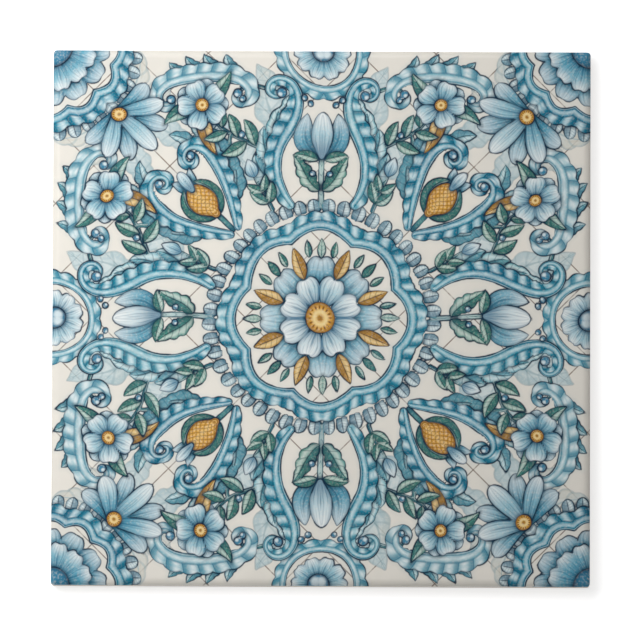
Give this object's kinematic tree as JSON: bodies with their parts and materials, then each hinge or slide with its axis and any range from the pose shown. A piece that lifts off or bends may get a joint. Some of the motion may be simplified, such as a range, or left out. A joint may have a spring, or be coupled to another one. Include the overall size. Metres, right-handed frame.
{
  "type": "talavera tile",
  "caption": "Square glazed ceramic wall tile with a painted talavera-style face, cushion edges, and a keyed back for adhesive.",
  "frame": {"origin": "middle of the plane that the tile's back rests on", "axes": "+Z out of the glazed face, +X towards the right-hand side and +Y towards the upper side of the face"},
  "size_m": [0.152, 0.152, 0.0064],
  "materials": {
    "glazed_tile": "gloss"
  },
  "bodies": {
    "root": {"tile": "glazed_tile"}
  },
  "joints": []
}
